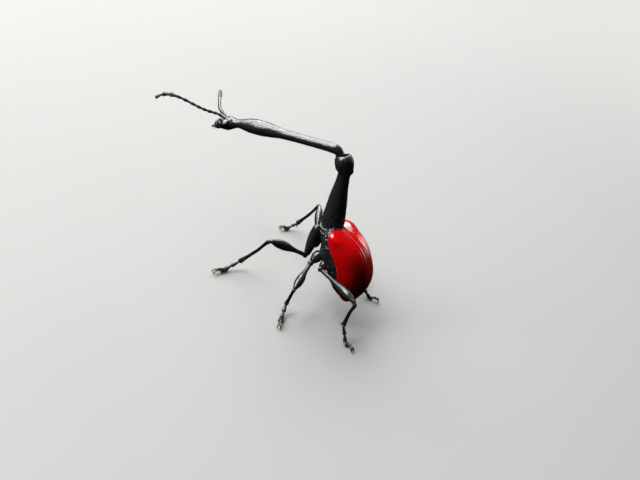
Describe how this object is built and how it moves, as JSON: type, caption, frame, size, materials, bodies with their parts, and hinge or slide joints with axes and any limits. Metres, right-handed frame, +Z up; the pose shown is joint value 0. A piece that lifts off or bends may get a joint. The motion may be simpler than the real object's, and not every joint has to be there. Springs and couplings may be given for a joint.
{
  "type": "giraffe weevil model",
  "caption": "Still, life-size model of a male giraffe weevil: glossy black, long jointed neck raised and bent, domed red wing cases, standing on its feet.",
  "frame": {"origin": "on the floor, at the centre of the box round the whole standing model", "axes": "+Z up; the weevil heads along -X, its left side faces -Y, its tail is towards +X"},
  "size_m": [0.0242, 0.0126, 0.0134],
  "materials": {
    "black_shell": "deep glossy black shell with fine punctures and wrinkles",
    "red_wing_case": "bright glossy red shell with rows of fine punctures",
    "eye": "wet-looking black eye with tiny facets",
    "brown_claw": "shiny dark reddish brown horn",
    "foot": "black foot with pale felted pads and brown claws"
  },
  "bodies": {
    "root": {"head": "black_shell", "eye_left": "eye", "eye_right": "eye", "mandible_left": "brown_claw", "mandible_right": "brown_claw", "antenna_left": "black_shell", "antenna_right": "black_shell", "neck": "black_shell", "prothorax": "black_shell", "thorax": "black_shell", "abdomen": "black_shell", "elytron_left": "red_wing_case", "elytron_right": "red_wing_case", "coxa_front_left": "black_shell", "femur_front_left": "black_shell", "tibia_front_left": "black_shell", "tarsus_front_left": "foot", "coxa_front_right": "black_shell", "femur_front_right": "black_shell", "tibia_front_right": "black_shell", "tarsus_front_right": "foot", "coxa_middle_left": "black_shell", "femur_middle_left": "black_shell", "tibia_middle_left": "black_shell", "tarsus_middle_left": "foot", "coxa_middle_right": "black_shell", "femur_middle_right": "black_shell", "tibia_middle_right": "black_shell", "tarsus_middle_right": "foot", "coxa_hind_left": "black_shell", "femur_hind_left": "black_shell", "tibia_hind_left": "black_shell", "tarsus_hind_left": "foot", "coxa_hind_right": "black_shell", "femur_hind_right": "black_shell", "tibia_hind_right": "black_shell", "tarsus_hind_right": "foot"}
  },
  "joints": []
}
